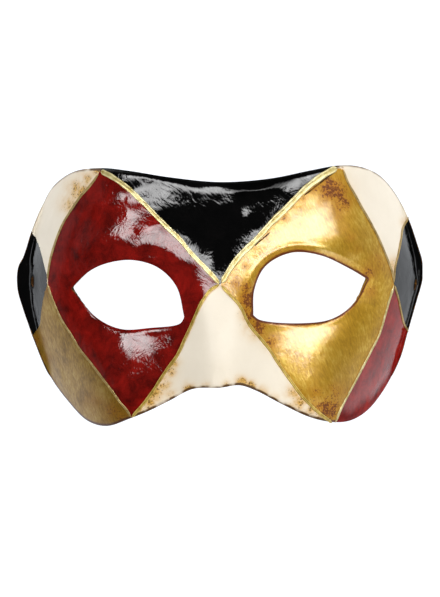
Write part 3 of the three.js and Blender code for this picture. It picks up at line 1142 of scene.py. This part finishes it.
@dataclass(frozen=True)
class Lumps:
    """The unevenness that layered paper keeps under its paint, as a sum of seeded waves."""

    seed: int = 7
    waves: tuple[tuple[float, float, int], ...] = (  # length and depth in mm, and how many there are
        (26.0, 0.08, 10), (11.0, 0.03, 16), (5.0, 0.007, 20),
    )
    length_range: Spot = (0.75, 1.4)  # shares of the length between which it is drawn
    sunk: float = 0.25  # how far the lumps lie below the smooth form in the middle, in mm
    edge_width: float = 4.0  # how far in from an edge they set out

    def offset(self, flat: Points, inwards: Points) -> np.ndarray:
        """How far the skin lies off the smooth form, in mm, never above it.

        Args:
            flat: Points of the unrolled skin.
            inwards: Their distance in from an edge.

        Returns:
            The offsets along the skin's normals.
        """
        rng = np.random.default_rng(self.seed)
        total = np.zeros(len(flat))
        for length, depth, count in self.waves:
            for _ in range(count):
                turn, phase = rng.uniform(0, 2 * math.pi, 2)
                pitch = 2 * math.pi / (length * rng.uniform(*self.length_range))
                along = flat @ (math.cos(turn), math.sin(turn))
                total += depth * np.sin(pitch * along + phase) / count**0.5
        return (total - self.sunk) * smoothstep(inwards, 0, self.edge_width)


# Pieces


@dataclass
class PaperShell:
    """The mask's one papier-mache shell, with its rolled rim, lining and painted diamonds, in mm."""

    face: Face
    wall: float = 2.2
    sheet_bottom: float = -55.0
    sheet_tall: float = 112.0
    step: float = 0.74  # between neighbouring vertices
    drawn_within: float = 0.43  # of a painted line, in steps, a vertex is drawn onto it
    sliver: float = 0.12  # triangles along the edge that are smaller than this, in steps squared, go
    trim: float = 0.28  # the skin stops this short of the edge, which bulges out again
    bulge: float = 0.26
    bulge_power: float = 0.7
    rim_loops: int = 3
    smooth_up_to: float = 50.0  # degrees between two faces
    lumps: Lumps = field(default_factory=Lumps)
    patina: Patina = field(default_factory=Patina)
    varnish_to: float = 66.0  # across, where the varnish ends on the temples
    temple_slope: float = 0.6  # of the depth in which it thins out there
    eye_slope: float = 8.0  # at the eye holes, where it thins out only at the very edge
    bare_stretch: Spot = (7.0, 25.0)  # across, the one stretch of its rim where the black's is thin
    stretch_slope: float = 0.8
    stretch_eye_slope: float = 6.0
    pale_beyond: float = 40.0  # across, the cut edge of the ivory is pale on the temples alone
    gilt_beyond: float = 6.0  # from the rim, the cut edge of the gold is gilded at its eye hole alone

    def build(self) -> bpy.types.Object:
        """Models the shell and paints it.

        Returns:
            The finished object, in the part's frame.
        """
        obj = self.lay_sheet()
        self.cut_out(obj)
        self.note_for_paint(obj.data)
        self.press_into_form(obj.data)
        self.mix_finishes(obj.data)
        self.give_it_a_wall(obj)
        self.round_the_rim(obj)
        self.sand_it_level(obj)
        self.paint(obj)
        return obj

    def edge_loops(self) -> list[Points]:
        """Draws every edge of the paper.

        Returns:
            The rim, then the holes, as closed runs on the unrolled skin.
        """
        face, outline = self.face, self.face.outline
        loops = [face.flat(loop) for loop in (outline.rim_loop(), *outline.eye_loops())]
        turn = np.linspace(0, 2 * math.pi, outline.slot_corners, endpoint=False)
        ring = np.column_stack([np.cos(turn), np.sin(turn)]) * outline.slot_half
        return loops + [face.flat(np.array([slot])) + ring for slot in outline.slots]

    def into_paper(self, flat: Points) -> tuple[Points, Points]:
        """Finds how far in from the paper's edges points lie.

        Args:
            flat: Points of the unrolled skin.

        Returns:
            Each point's distance in from its nearest edge, negative off the paper, and the
            direction in which it grows.
        """
        least = np.full(len(flat), np.inf)
        way = np.zeros_like(flat)
        off = np.zeros(len(flat), bool)
        for i, loop in enumerate(self.edge_loops()):
            apart, near = nearest_on(loop, flat, closed=True)
            off |= is_inside(loop, flat) == (i > 0)
            better = apart < least
            least[better] = apart[better]
            way[better] = (flat - near)[better] / np.maximum(apart, 1e-9)[better, None]
        least[off] *= -1
        way[off] *= -1
        return least, way

    def lay_sheet(self) -> bpy.types.Object:
        """Lays out a flat sheet of even triangles, big enough for the unrolled mask.

        Returns:
            The sheet.
        """
        row_height = self.step * math.sqrt(0.75)
        columns = math.ceil(2 * self.face.unrolled()[-1] / self.step)
        obj, column, row = add_grid("mask_shell", columns, math.ceil(self.sheet_tall / row_height))
        x = (column - columns / 2 + 0.5 * (row % 2)) * self.step
        move_vertices(obj.data, np.column_stack([x, row * row_height + self.sheet_bottom, np.zeros(len(x))]))
        select_all_faces(obj)
        bpy.ops.mesh.quads_convert_to_tris(quad_method="SHORTEST_DIAGONAL")
        bpy.ops.object.mode_set(mode="OBJECT")
        return obj

    def cut_out(self, obj: bpy.types.Object) -> None:
        """Cuts the sheet along the rim and the holes, and draws it to the painted lines.

        Args:
            obj: The sheet.
        """
        mesh = obj.data
        flat = vertex_places(mesh)[:, :2]
        inwards, way = self.into_paper(flat)
        inwards -= self.trim
        on_edge = np.abs(inwards) < 0.5 * self.step
        flat[on_edge] -= (inwards[:, None] * way)[on_edge]
        near_line = np.full(len(flat), np.inf)
        target = flat.copy()
        for painted in LINES.values():
            apart, near = nearest_on(painted.flat(self.face), flat, closed=False)
            better = apart < near_line
            near_line[better] = apart[better]
            target[better] = near[better]
        on_line = (near_line < self.drawn_within * self.step) & ~on_edge
        flat[on_line] = target[on_line]
        move_vertices(mesh, np.column_stack([flat, np.zeros(len(flat))]))
        note(mesh, "on_edge", on_edge)
        select_in_mesh(obj, "VERT", (inwards < 0) & ~on_edge)
        bpy.ops.mesh.delete(type="VERT")
        bpy.ops.object.mode_set(mode="OBJECT")
        corners = read(mesh.loops, "vertex_index", kind=np.int32).reshape(-1, 3)
        along_edge = (take_note(mesh, "on_edge")[corners] > 0.5).all(axis=1)
        is_sliver = read(mesh.polygons, "area") < self.sliver * self.step**2
        select_in_mesh(obj, "FACE", along_edge & is_sliver)
        bpy.ops.mesh.delete(type="FACE")
        bpy.ops.object.mode_set(mode="OBJECT")

    def note_for_paint(self, mesh: bpy.types.Mesh) -> None:
        """Notes what the paint needs to know of the flat sheet: diamonds, edges, lines and wax.

        Args:
            mesh: The cut sheet.
        """
        harlequin = Harlequin(self.face)
        flat = vertex_places(mesh)[:, :2]
        seen = self.face.seen(flat)
        across = seen[:, 0]
        under = harlequin.finishes(flat)
        from_edge = np.maximum(0, self.into_paper(flat)[0])
        from_rim = nearest_on(self.edge_loops()[0], flat, closed=True)[0]
        from_temple = self.temple_slope * np.maximum(0, self.varnish_to - np.abs(across))
        start, end = self.bare_stretch
        from_stretch = self.stretch_slope * np.maximum(0, np.maximum(start - across, across - end))
        from_bands = [
            nearest_on(painted.flat(self.face), flat, closed=False)[0] - painted.half_width
            for painted in LINES.values() if painted.half_width
        ]
        notes = {
            "edge_mm": from_edge,
            "band_mm": np.min(from_bands, axis=0),
            "rim_mm": np.min([from_rim, from_temple, self.eye_slope * from_edge], axis=0),
            "stretch_mm": np.minimum(from_rim + from_stretch, self.stretch_eye_slope * from_edge),
            # with the painted shade along the gold's fold
            "wax": self.patina.amount(seen),
            "pale": (under == Finish.IVORY.value) & (np.abs(across) > self.pale_beyond),
            "gilt": (under == Finish.GOLD.value) & (from_rim > self.gilt_beyond),
        }
        for name, values in notes.items():
            note(mesh, name, values)
        diamonds = harlequin.finishes(read(mesh.polygons, "center", 3)[:, :2])
        mesh.attributes.new("finish", "INT", "FACE").data.foreach_set("value", diamonds.astype(np.int32))

    def press_into_form(self, mesh: bpy.types.Mesh) -> None:
        """Presses the flat sheet over the form of the face, and lets the paper's lumps show.

        Args:
            mesh: The cut sheet.
        """
        flat = vertex_places(mesh)[:, :2]
        lumps = self.lumps.offset(flat, self.into_paper(flat)[0])
        move_vertices(mesh, self.face.skin(flat))
        places = vertex_places(mesh) + vertex_normals(mesh) * lumps[:, None]
        move_vertices(mesh, (places + ORIGIN) * MM)

    def mix_finishes(self, mesh: bpy.types.Mesh) -> None:
        """Mixes every finish and gives it its place among the shell's materials.

        Args:
            mesh: The shell's mesh.
        """
        made = {
            Finish.IVORY: IvoryPaint(),
            Finish.LINING: BarePaper(),
            Finish.RIM: RimPaint(),
            Finish.BLACK: Lacquer(
                "black_lacquer", "#020202", "#040404", "#080707", bare_mm=7.0, bare_within="stretch_mm",
            ),
            Finish.RED: Lacquer("red_lacquer", "#3A0705", "#680F0A", "#8A1610", bare_mm=9.0),
            # the red lacquer painted brighter: painted light on the lower right side; its varnish wears thin
            # at every edge
            Finish.WORN_RED: Lacquer(
                "lit_worn_red_lacquer", "#500A07", "#781410", "#98241C", bare_mm=6.0, bare_within="edge_mm",
                ior=1.36,
            ),
            Finish.GOLD: GoldLeaf(
                "gold_leaf", "#88600C", "#B68C20", "#DABC54", bare_mm=15.0,
                wax=Wax(
                    thin="#AA6C10", thick="#5A2404", edge_mm=3.0, edge_share=0.95, band_mm=1.4, least=0.45,
                    speck_lift=0.26, line_share=2.2,
                ),
            ),
            # the same gold leaf painted darker: painted shade on the lower left side; its varnish is thinner
            Finish.OLD_GOLD: GoldLeaf(
                "shaded_old_gold_leaf", "#583C08", "#8C6A1E", "#AC9248", coat=0.22,
                wax=Wax(
                    thin="#80540E", thick="#4A2806", edge_mm=3.0, edge_share=0.7, band_mm=1.4, band_share=0.4,
                    least=0.45,
                ),
            ),
        }
        for finish in Finish:
            mesh.materials.append(made[finish].material())

    def give_it_a_wall(self, obj: bpy.types.Object) -> None:
        """Gives the skin the thickness of its paper, inwards, with a lining and a cut edge.

        Args:
            obj: The pressed skin.
        """
        wall = obj.modifiers.new("wall", "SOLIDIFY")
        wall.thickness = self.wall * MM
        wall.offset = -1
        wall.use_quality_normals = True
        wall.material_offset = Finish.LINING.value
        wall.material_offset_rim = Finish.RIM.value
        bpy.ops.object.modifier_apply(modifier=wall.name)

    def round_the_rim(self, obj: bpy.types.Object) -> None:
        """Rounds the cut edges, as paste and paint do.

        Args:
            obj: The shell, whose cut edges are one flat strip.
        """
        mesh = obj.data
        places = vertex_places(mesh)
        finish = read(mesh.polygons, "material_index", kind=np.int32)
        finish = np.repeat(finish, read(mesh.polygons, "loop_total", kind=np.int32))
        is_lined = np.zeros(len(places), bool)
        is_lined[read(mesh.loops, "vertex_index", kind=np.int32)[finish == Finish.LINING.value]] = True
        rim_edges = read(mesh.loops, "edge_index", kind=np.int32)[finish == Finish.RIM.value]
        is_across = np.bincount(rim_edges, minlength=len(mesh.edges)) == 2
        a, b = read(mesh.edges, "vertices", 2, np.int32)[is_across].T
        across = np.zeros_like(places)
        across[a] = across[b] = (places[b] - places[a]) * np.where(is_lined[b], 1, -1)[:, None]
        note(mesh, "through", is_lined)
        note(mesh, "across", across)
        select_in_mesh(obj, "EDGE", is_across)
        bpy.ops.mesh.subdivide(number_cuts=self.rim_loops)
        bpy.ops.object.mode_set(mode="OBJECT")
        first_new = len(places)
        through, across = take_note(mesh, "through"), take_note(mesh, "across")
        places = vertex_places(mesh)
        round_to = (1 - np.cos(math.pi * through)) / 2
        swell = np.maximum(0, np.sin(math.pi * np.clip(through, 0, 1))) ** self.bulge_power
        moved = places + across * (round_to - through)[:, None]
        moved += vertex_normals(mesh) * (self.bulge * MM * swell)[:, None]
        places[first_new:] = moved[first_new:]
        move_vertices(mesh, places)

    def sand_it_level(self, obj: bpy.types.Object) -> None:
        """Sands the temples' rims level with the table that they lie on.

        Args:
            obj: The shell.
        """
        select_all_faces(obj)
        bpy.ops.mesh.bisect(plane_co=(0, 0, 0), plane_no=(0, 0, 1), clear_inner=True)
        bpy.ops.mesh.select_all(action="DESELECT")
        bpy.context.tool_settings.mesh_select_mode = (False, True, False)
        bpy.ops.mesh.select_non_manifold(
            use_wire=False, use_boundary=True, use_multi_face=False, use_non_contiguous=False, use_verts=False
        )
        bpy.ops.mesh.fill()
        bpy.ops.object.mode_set(mode="OBJECT")
        mesh = obj.data
        is_sanded = read(mesh.polygons, "select", kind=bool)
        LOG.info("sanded level: %d triangles", is_sanded.sum())
        finish = read(mesh.polygons, "material_index", kind=np.int32)
        finish[is_sanded] = Finish.LINING.value
        mesh.polygons.foreach_set("material_index", finish)
        move_vertices(mesh, keep_in_box(vertex_places(mesh)))

    def paint(self, obj: bpy.types.Object) -> None:
        """Paints the outside, which is all ivory so far, with its diamonds.

        Args:
            obj: The shell.
        """
        mesh = obj.data
        finish = read(mesh.polygons, "material_index", kind=np.int32)
        diamonds = take_note(mesh, "finish", np.int32)
        finish = np.where(finish == Finish.IVORY.value, diamonds, finish)
        mesh.polygons.foreach_set("material_index", finish)
        bpy.ops.object.select_all(action="DESELECT")
        obj.select_set(True)
        bpy.context.view_layer.objects.active = obj
        bpy.ops.object.shade_smooth_by_angle(angle=math.radians(self.smooth_up_to))


@dataclass
class GiltBands:
    """The bands of gold paint between the diamonds, which stand a little proud of the shell, in mm."""

    face: Face
    lumps: Lumps = field(default_factory=Lumps)
    step: float = 0.5  # along a band
    profile: tuple[Spot, ...] = (
        (-1.12, -0.22), (-0.98, 0.05), (-0.86, 0.19), (-0.66, 0.24), (-0.40, 0.16), (0.0, 0.12),
        (0.40, 0.16), (0.66, 0.24), (0.86, 0.19), (0.98, 0.05), (1.12, -0.22),
    )  # share of the half width, and height over the skin
    ridge: Spot = (0.12, 0.24)  # heights between which a band's paint turns to its ridge's painted highlight
    body: float = 0.3
    lift_each: float = 0.015  # each band lies this much over the last, so their faces never coincide
    stroke_lift: float = -0.12
    uneven_width: float = 0.10  # the share by which a hand-drawn band's width comes and goes
    uneven_middle: float = 0.10  # how far its middle sways
    sways: tuple[float, float, float] = (2.3, 5.1, 3.7)  # per radian: two of its width, one of its middle
    phases: Spot = (0.0, 6.28)  # radians between which the sways set out
    tip: float = 2.2  # how long its tip is
    tip_share: float = 0.35  # of the width at the very tip
    sink: float = 0.3  # how deep the tip dips into the skin
    sink_length: float = 1.2
    off_table: float = 0.35
    probe: float = 0.25  # to the points on the skin that give its slope
    smooth_up_to: float = 60.0  # degrees between two faces

    def build(self) -> bpy.types.Object:
        """Models every band and joins them.

        Returns:
            The finished object, in the part's frame.
        """
        # one gold paint in three tones: painted light on the pale bands, painted shade on the dull ones
        pale = BandGilding("lit_pale_gold_paint", "#F0E6B4", "#A08A3E").material()
        rich = BandGilding("rich_gold_paint", "#DABE64", "#886C1C").material()
        shaded_dull = BandGilding("shaded_dull_gold_paint", "#C8AE74", "#7A6026").material()
        tones = {"forehead_left": pale, "forehead_right": pale, "cheek_outer_right": pale}
        tones |= {"nose_left": rich, "nose_right": rich}
        bands = []
        for name, painted in LINES.items():
            if painted.half_width:
                bands.append(self.lay(name, painted, self.lift_each * len(bands)))
                bands[-1].data.materials.append(tones.get(name, shaded_dull))
        umber = RimPaint().material()
        for i, painted in enumerate(STROKES):
            bands.append(self.lay(f"stroke_{i}", painted, self.stroke_lift))
            bands[-1].data.materials.append(umber)
        bpy.ops.object.select_all(action="DESELECT")
        for band in bands:
            band.select_set(True)
        bpy.context.view_layer.objects.active = bands[0]
        bpy.ops.object.join()
        obj = bpy.context.active_object
        obj.name = obj.data.name = "gilt_bands"
        bpy.ops.object.shade_smooth_by_angle(angle=math.radians(self.smooth_up_to))
        return obj

    def lay(self, name: str, painted: PaintedLine, lift: float) -> bpy.types.Object:
        """Lays one band along its line.

        Args:
            name: The line's name.
            painted: The line.
            lift: How much higher than the profile says it lies.

        Returns:
            The band, a closed strip.
        """
        run = painted.flat(self.face)
        length = np.concatenate([[0], np.cumsum(np.linalg.norm(np.diff(run, axis=0), axis=1))])
        pieces = max(4, round(length[-1] / self.step))
        obj, column, row = add_grid(name, pieces, len(self.profile) - 1)
        at = np.linspace(0, length[-1], pieces + 1)
        to_end = np.minimum(at, length[-1] - at)
        middle = np.column_stack([np.interp(at, length, along) for along in run.T])
        ahead = np.gradient(middle, axis=0)
        ahead /= np.linalg.norm(ahead, axis=1)[:, None]
        aside = np.column_stack([-ahead[:, 1], ahead[:, 0]])
        phases = np.random.default_rng(len(name)).uniform(*self.phases, 3)
        waves = [np.sin(at / sway + phase) for sway, phase in zip(self.sways, phases)]
        half = painted.half_width * (1 + self.uneven_width * waves[0] * waves[1])
        half *= self.tip_share + (1 - self.tip_share) * smoothstep(to_end, 0, self.tip)
        middle += aside * (self.uneven_middle * waves[2])[:, None]
        across, up = np.array(self.profile)[row].T
        flat = middle[column] + aside[column] * (half[column] * across)[:, None]
        skin, right, above = (
            self.face.skin(flat + shift) for shift in ((0, 0), (self.probe, 0), (0, self.probe))
        )
        normal = np.cross(right - skin, above - skin)
        normal /= np.linalg.norm(normal, axis=1)[:, None]
        lumps = self.lumps.offset(flat, PaperShell(self.face).into_paper(flat)[0])
        sink = self.sink * (1 - smoothstep(to_end, 0, self.sink_length))
        raised = skin + normal * (lumps + up + lift - sink[column])[:, None]
        raised[:, 2] = np.maximum(raised[:, 2], self.off_table)
        # the ridges, which the paint makes bright as a painted highlight
        note(obj.data, "ridge", smoothstep(up, *self.ridge))
        move_vertices(obj.data, keep_in_box((raised + ORIGIN) * MM))
        body = obj.modifiers.new("body", "SOLIDIFY")
        body.thickness = self.body * MM
        body.offset = -1
        bpy.ops.object.modifier_apply(modifier=body.name)
        return obj


# The studio


@dataclass(frozen=True)
class Screen:
    """A big soft screen of light that looks at the mask: its place and size in m, its power in W."""

    name: str
    place: tuple[float, float, float]
    size: float
    power: float
    is_mirrored: bool = False  # in gloss, as the gilding's lower side needs

    def stand(self, aim: Vector) -> None:
        """Stands the screen in its place and turns it to a point.

        Args:
            aim: The point.
        """
        data = bpy.data.lights.new(self.name, "AREA")
        data.size = self.size
        data.energy = self.power
        screen = bpy.data.objects.new(self.name, data)
        bpy.context.scene.collection.objects.link(screen)
        screen.location = self.place
        screen.rotation_euler = (aim - screen.location).to_track_quat("-Z", "Y").to_euler()
        screen.visible_glossy = self.is_mirrored


@dataclass
class Studio:
    """A pale table, a long curved softbox beyond the forehead, and a camera straight above."""

    camera_height: float = 4.0
    sensor_mm: float = 36.0
    frame_tall_mm: float = 597 * 170 / 409  # 597 pixels, of which the mask's 170 mm take up 409
    aim: tuple[float, float, float] = (0.00011, -0.00128, 0.03)
    table_size: float = 6.0
    pool_mm: Spot = (205.0, 255.0)  # half the size of the table's glow, which is even in its middle
    glow: Spot = (0.03, 1.02)  # around the pool, and in its middle
    bank_distance: float = 1.7
    bank_azimuth: float = 6.4
    bank_elevation: float = 36.1
    bank_half_width: float = 67.0  # degrees, as the three numbers around it
    bank_half_height: float = 7.25
    bank_faces: tuple[int, int] = (48, 4)
    bank_powers: Spot = (11.61, 2.58)  # along its middle and along its long edges
    bank_folds: float = 16.0  # about how many folds of its cloth there are from end to end
    screens: tuple[Screen, ...] = (
        Screen("fill_left", (-0.55, -1.1, 0.6), size=1.0, power=10.5),
        Screen("fill_right", (1.0, -0.6, 0.62), size=1.1, power=8.2, is_mirrored=True),
        Screen("fill_chin", (0.1, -1.3, 0.3), size=1.0, power=5.5),
    )

    def set_up(self) -> None:
        """Builds the table, the lights and the camera."""
        self.lay_table()
        self.hang_bank()
        self.dim_room()
        for screen in self.screens:
            screen.stand(Vector((0, 0, self.aim[2])))
        self.place_camera()

    def lay_table(self) -> None:
        """Lays a plain white table that glows softly, as a light table does."""
        bpy.ops.object.select_all(action="DESELECT")
        bpy.ops.mesh.primitive_plane_add(size=self.table_size)
        table = bpy.context.active_object
        table.name = "table"
        made, tree, shader, place = start_material("white_light_table")
        wide, tall = self.pool_mm
        pool = add_node(tree, "Mapping", Vector=place, Scale=(1 / wide / MM, 1 / tall / MM, 1.0))
        from_middle = add_node(
            tree, "TexGradient", {"gradient_type": "SPHERICAL"}, Vector=pool.outputs["Vector"]
        )
        glow = add_node(
            tree, "MapRange", SOFTLY, Value=from_middle.outputs["Fac"], From_Max=0.38, To_Min=self.glow[0],
            To_Max=self.glow[1],
        ).outputs["Result"]
        fill_inputs(
            shader, Base_Color=linear("#7A7A79"), Roughness=0.9, Specular_IOR_Level=0.0,
            Emission_Color=linear("#F3F8FF"), Emission_Strength=glow,
        )
        table.data.materials.append(made)

    def hang_bank(self) -> None:
        """Hangs the curved softbox that the gloss reflects: an arc at one height over the face."""
        columns, rows = self.bank_faces
        bank, column, row = add_grid("softbox", columns, rows)
        azimuth = np.radians(self.bank_azimuth + (2 * column / columns - 1) * self.bank_half_width)
        rise = np.radians(self.bank_elevation + (2 * row / rows - 1) * self.bank_half_height)
        ahead, up = np.cos(rise), np.sin(rise)
        where = np.column_stack([ahead * np.sin(azimuth), up, ahead * np.cos(azimuth)])
        move_vertices(bank.data, where * self.bank_distance)
        made = bpy.data.materials.new("softbox_cloth")
        made.use_nodes = True
        tree = made.node_tree
        tree.nodes.clear()
        at = add_node(tree, "SeparateXYZ", Vector=add_node(tree, "TexCoord").outputs["UV"]).outputs
        from_middle = add_node(
            tree, "Math", {"operation": "MULTIPLY_ADD"}, i0=at["Y"], i1=2.0, i2=-1.0
        ).outputs[0]
        squared = add_node(tree, "Math", {"operation": "MULTIPLY"}, i0=from_middle, i1=from_middle).outputs[0]
        across = add_node(
            tree, "MapRange", Value=squared, To_Min=self.bank_powers[0], To_Max=self.bank_powers[1]
        ).outputs["Result"]
        folds = add_node(
            tree, "TexNoise", {"noise_dimensions": "1D"}, W=at["X"], Scale=self.bank_folds, Detail=2.0
        ).outputs["Fac"]
        uneven = add_node(
            tree, "MapRange", Value=folds, From_Min=0.3, From_Max=0.7, To_Min=0.7, To_Max=1.25
        ).outputs["Result"]
        strength = add_node(tree, "Math", {"operation": "MULTIPLY"}, i0=uneven, i1=across).outputs[0]
        light = add_node(tree, "Emission", Strength=strength)
        add_node(tree, "OutputMaterial", Surface=light.outputs[0])
        bank.data.materials.append(made)
        bank.visible_camera = False

    def dim_room(self) -> None:
        """Dims the room to a faint even light."""
        world = bpy.data.worlds.new("dim_room")
        bpy.context.scene.world = world
        world.use_nodes = True
        fill_inputs(world.node_tree.nodes["Background"], Color=linear("#F4F6FA"), Strength=0.03)

    def place_camera(self) -> None:
        """Looks straight down at the mask, as the photograph does, from far off."""
        data = bpy.data.cameras.new("camera")
        camera = bpy.data.objects.new("camera", data)
        bpy.context.scene.collection.objects.link(camera)
        camera.location = Vector(self.aim) + Vector((0, 0, self.camera_height))
        data.sensor_fit = "VERTICAL"
        data.sensor_height = self.sensor_mm
        data.lens = self.sensor_mm * self.camera_height / (self.frame_tall_mm * MM)
        data.clip_end = 5 * self.camera_height
        bpy.context.scene.camera = camera
        bpy.context.scene.view_settings.view_transform = "Standard"


def main() -> None:
    """Builds the mask and the studio around it."""
    logging.basicConfig(level=logging.INFO, format="%(name)s: %(message)s")
    face = Face()
    shell = PaperShell(face).build()
    bands = GiltBands(face).build()
    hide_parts("mask")
    for piece in (shell, bands):
        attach(piece, "root")
        piece.data.calc_loop_triangles()
        LOG.info("%s: %d triangles", piece.name, len(piece.data.loop_triangles))
    Studio().set_up()


if __name__ == "__main__":
    main()
